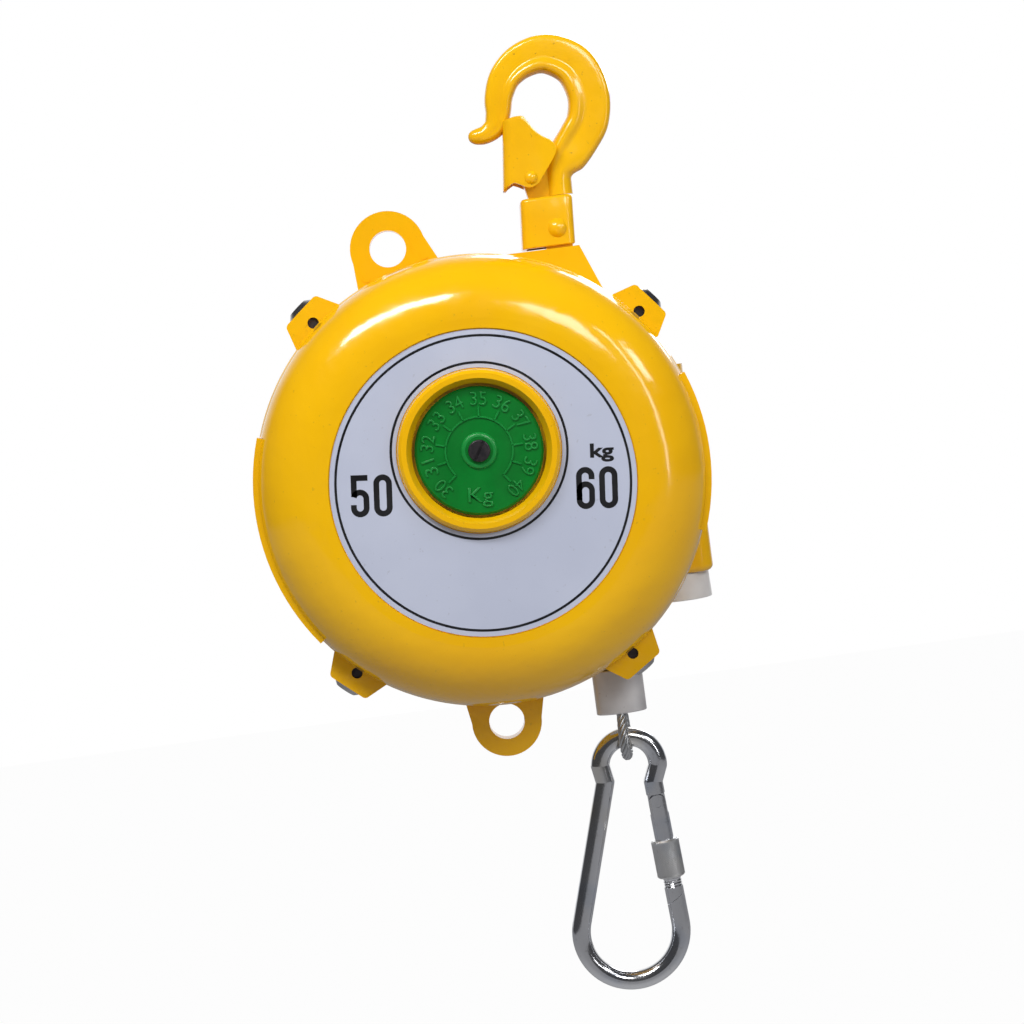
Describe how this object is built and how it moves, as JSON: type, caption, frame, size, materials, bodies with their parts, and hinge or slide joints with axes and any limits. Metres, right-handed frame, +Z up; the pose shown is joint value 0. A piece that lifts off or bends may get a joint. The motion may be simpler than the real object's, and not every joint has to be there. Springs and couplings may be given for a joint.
{
  "type": "spring tool balancer",
  "caption": "Spring tool balancer: a latched swivel hook carries a round case whose spring drum pays out a wire rope with a locking carabiner.",
  "frame": {"origin": "seat of the suspension hook: the inner top of its bowl, on the load line", "axes": "+X to the right and +Z up as seen from the dial side, +Y away from the dial"},
  "size_m": [0.2348, 0.117, 0.5086],
  "materials": {
    "painted": "glossy yellow enamel",
    "zinc_steel": "zinc plated",
    "chromed_steel": "bright zinc",
    "label": "printed satin",
    "bronze": "machined bronze",
    "spring_steel": "oiled steel",
    "green_plastic": "moulded",
    "dark_steel": "blackened",
    "white_plastic": "translucent white",
    "black_rubber": "matt",
    "cast_aluminium": "satin",
    "rope_steel": "stranded wire"
  },
  "bodies": {
    "hook": {"hook": "painted", "swivel_nut": "zinc_steel", "latch_pin": "painted"},
    "latch": {"latch": "painted", "latch_spring": "zinc_steel"},
    "yoke": {"yoke": "painted", "swivel_washer": "zinc_steel", "pivot_pin": "painted"},
    "case": {"front_cover": "painted", "rear_case": "painted", "label_plate": "label", "cover_screws": "zinc_steel", "lock_screws": "zinc_steel", "front_bush": "bronze", "rear_bush": "bronze", "rope_guide": "white_plastic", "rope_bumper": "black_rubber"},
    "tension_shaft": {"main_shaft": "spring_steel", "worm_wheel": "bronze", "dial": "green_plastic", "dial_screw": "dark_steel"},
    "worm": {"worm": "spring_steel"},
    "worm_cap": {"worm_cap": "white_plastic"},
    "drum": {"rope_drum": "cast_aluminium", "wound_rope": "rope_steel", "drum_bush": "bronze", "spring_cover": "spring_steel", "mainspring": "spring_steel"},
    "rope_end": {"rope_fall": "rope_steel", "ferrule": "cast_aluminium", "rope_eye": "rope_steel", "thimble": "zinc_steel"},
    "carabiner": {"carabiner_body": "chromed_steel", "gate_pin": "chromed_steel"},
    "gate": {"gate": "chromed_steel"},
    "sleeve": {"screw_sleeve": "chromed_steel"}
  },
  "joints": [
    {"name": "latch_hinge", "type": "hinge", "parent": "hook", "child": "latch", "pos_m": [-0.0116, 0, -0.0543], "axis": [0, 1, 0], "range_deg": [0, 32], "stiffness_Nm_per_rad": 0.03, "springref_deg": -34.38},
    {"name": "hook_swivel", "type": "hinge", "parent": "hook", "child": "yoke", "pos_m": [0.001, 0, -0.065], "axis": [0, 0, 1], "continuous": true},
    {"name": "case_pivot", "type": "hinge", "parent": "yoke", "child": "case", "pos_m": [-0.0015, 0, -0.082], "axis": [0, 1, 0], "range_deg": [0, 4]},
    {"name": "tension_adjust", "type": "hinge", "parent": "case", "child": "tension_shaft", "pos_m": [-0.0577, 0, -0.1905], "axis": [0, 1, 0], "range_deg": [0, 270]},
    {"name": "worm_spin", "type": "hinge", "parent": "case", "child": "worm", "pos_m": [0.0408, 0.023, -0.1905], "axis": [0, 0, 1], "range_deg": [0, 16200]},
    {"name": "worm_cap_pull", "type": "slide", "parent": "case", "child": "worm_cap", "axis": [0, 0, -1], "range_m": [0, 0.03]},
    {"name": "drum_spin", "type": "hinge", "parent": "case", "child": "drum", "pos_m": [-0.0577, 0, -0.1905], "axis": [0, 1, 0], "range_deg": [0, 1213.2], "stiffness_Nm_per_rad": 0.05, "springref_deg": -1145.92},
    {"name": "rope_pull", "type": "slide", "parent": "case", "child": "rope_end", "axis": [0, 0, -1], "range_m": [0, 1.501], "stiffness_N_per_m": 20, "springref_m": -1.5, "deforming": ["rope_fall"]},
    {"name": "carabiner_swing", "type": "hinge", "parent": "rope_end", "child": "carabiner", "pos_m": [0, 0, -0.36862], "axis": [0, 1, 0], "range_deg": [-35, 35]},
    {"name": "gate_hinge", "type": "hinge", "parent": "carabiner", "child": "gate", "pos_m": [0.0125, 0, -0.39088], "axis": [0, 1, 0], "range_deg": [0, 22], "stiffness_Nm_per_rad": 0.06, "springref_deg": -34.38},
    {"name": "sleeve_travel", "type": "slide", "parent": "gate", "child": "sleeve", "axis": [0.063, 0, -0.998], "range_m": [0, 0.013]}
  ],
  "couplings": [
    {"joint": "worm_spin", "follows": "tension_adjust", "ratio": 60},
    {"joint": "rope_pull", "follows": "drum_spin", "m_per_rad": 0.070841}
  ]
}
